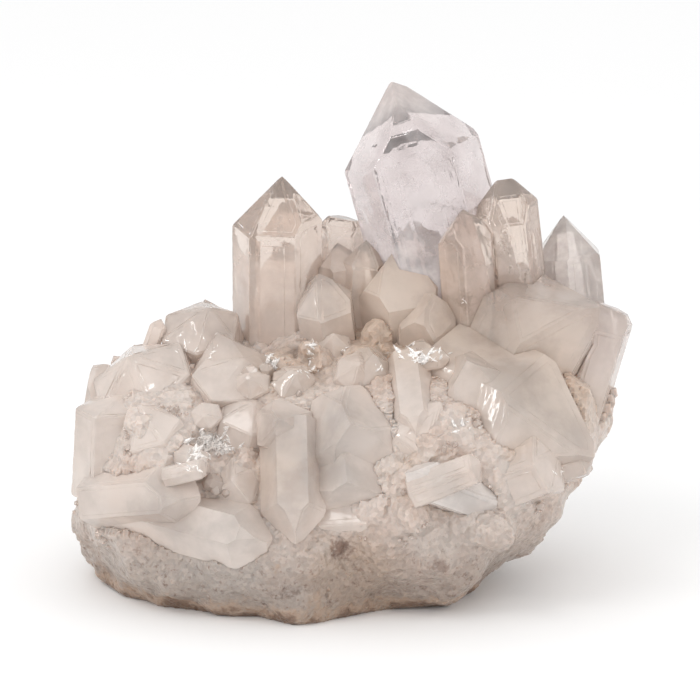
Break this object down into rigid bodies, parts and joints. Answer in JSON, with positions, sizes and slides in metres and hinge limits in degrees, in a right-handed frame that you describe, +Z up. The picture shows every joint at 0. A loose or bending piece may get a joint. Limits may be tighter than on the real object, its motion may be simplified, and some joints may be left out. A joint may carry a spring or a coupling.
{
  "type": "quartz crystal cluster",
  "caption": "Natural cluster of pointed six-sided quartz crystals on a lump of massive quartz, cut flat underneath to stand on a shelf or desk.",
  "frame": {"origin": "on the flat cut, under the middle of the cluster's bounding box", "axes": "+Z up from the flat cut, +X to the viewer's right, -Y towards the viewer; the longest extent is along X"},
  "size_m": [0.1222, 0.0844, 0.1079],
  "materials": {
    "massive_quartz": "rough sugary broken quartz with brown iron stain near the bottom",
    "clear_quartz": "smooth natural crystal faces, see-through with veils",
    "milky_quartz": "smooth natural crystal faces, milky inside"
  },
  "bodies": {
    "root": {"matrix": "massive_quartz", "main_point": "clear_quartz", "far_right_point": "clear_quartz", "low_right_point": "clear_quartz", "left_tower": "milky_quartz", "right_tower": "milky_quartz", "shoulder_point": "milky_quartz", "right_edge_point": "milky_quartz", "front_right_point": "milky_quartz", "back_left_point": "milky_quartz", "centre_points": "milky_quartz", "front_points": "milky_quartz", "lying_points": "milky_quartz", "left_bank_points": "milky_quartz", "left_edge_points": "milky_quartz", "back_left_tower": "milky_quartz", "back_middle_tower": "milky_quartz", "back_right_tower": "milky_quartz", "back_points": "milky_quartz", "back_left_points": "milky_quartz"}
  },
  "joints": []
}
